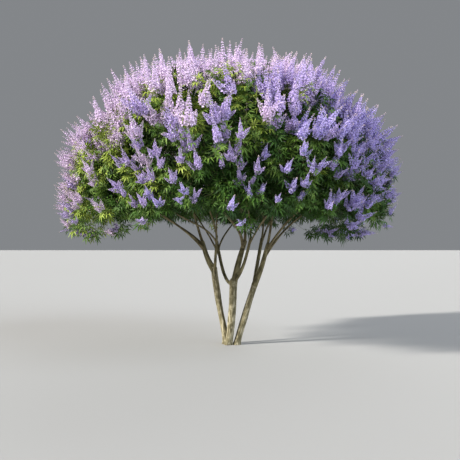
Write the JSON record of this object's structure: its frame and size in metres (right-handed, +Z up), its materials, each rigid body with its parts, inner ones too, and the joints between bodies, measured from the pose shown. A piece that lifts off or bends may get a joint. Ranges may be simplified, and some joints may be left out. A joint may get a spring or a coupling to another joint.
{
  "type": "chaste tree",
  "caption": "Small multi-stemmed tree with forking boughs under a broad dense dome of foliage, covered over its top and sides in upright lavender flower spikes.",
  "frame": {"origin": "centre of the middle stem's flat cut, on level ground", "axes": "+Z up, -Y towards the side seen in the picture, +X to the right of that view"},
  "size_m": [5.3562, 5.1691, 4.5703],
  "materials": {
    "bark": "pale tan, matt, lightly ridged",
    "young_bark": "olive brown, matt",
    "foliage": "mid green leaves, soft sheen",
    "blossom": "pale lavender, matt"
  },
  "bodies": {
    "root": {"stem_middle": "bark", "stem_left": "bark", "stem_right": "bark", "bough_middle_main": "bark", "bough_middle_back": "bark", "bough_middle_front": "bark", "bough_left_long": "bark", "bough_left_inner": "bark", "bough_right_outer": "bark", "bough_right_inner": "bark", "limb_outer_1": "young_bark", "limb_outer_2": "young_bark", "limb_outer_3": "young_bark", "limb_outer_4": "young_bark", "limb_outer_5": "young_bark", "limb_outer_6": "young_bark", "limb_outer_7": "young_bark", "limb_outer_8": "young_bark", "limb_outer_9": "young_bark", "limb_outer_10": "young_bark", "limb_upper_1": "young_bark", "limb_upper_2": "young_bark", "limb_upper_3": "young_bark", "limb_upper_4": "young_bark", "limb_upper_5": "young_bark", "limb_upper_6": "young_bark", "limb_top": "young_bark", "foliage_outer_1": "foliage", "foliage_outer_2": "foliage", "foliage_outer_3": "foliage", "foliage_outer_4": "foliage", "foliage_outer_5": "foliage", "foliage_outer_6": "foliage", "foliage_outer_7": "foliage", "foliage_outer_8": "foliage", "foliage_outer_9": "foliage", "foliage_outer_10": "foliage", "foliage_upper_1": "blossom", "foliage_upper_2": "blossom", "foliage_upper_3": "blossom", "foliage_upper_4": "blossom", "foliage_upper_5": "blossom", "foliage_upper_6": "blossom", "foliage_top": "blossom"}
  },
  "joints": []
}
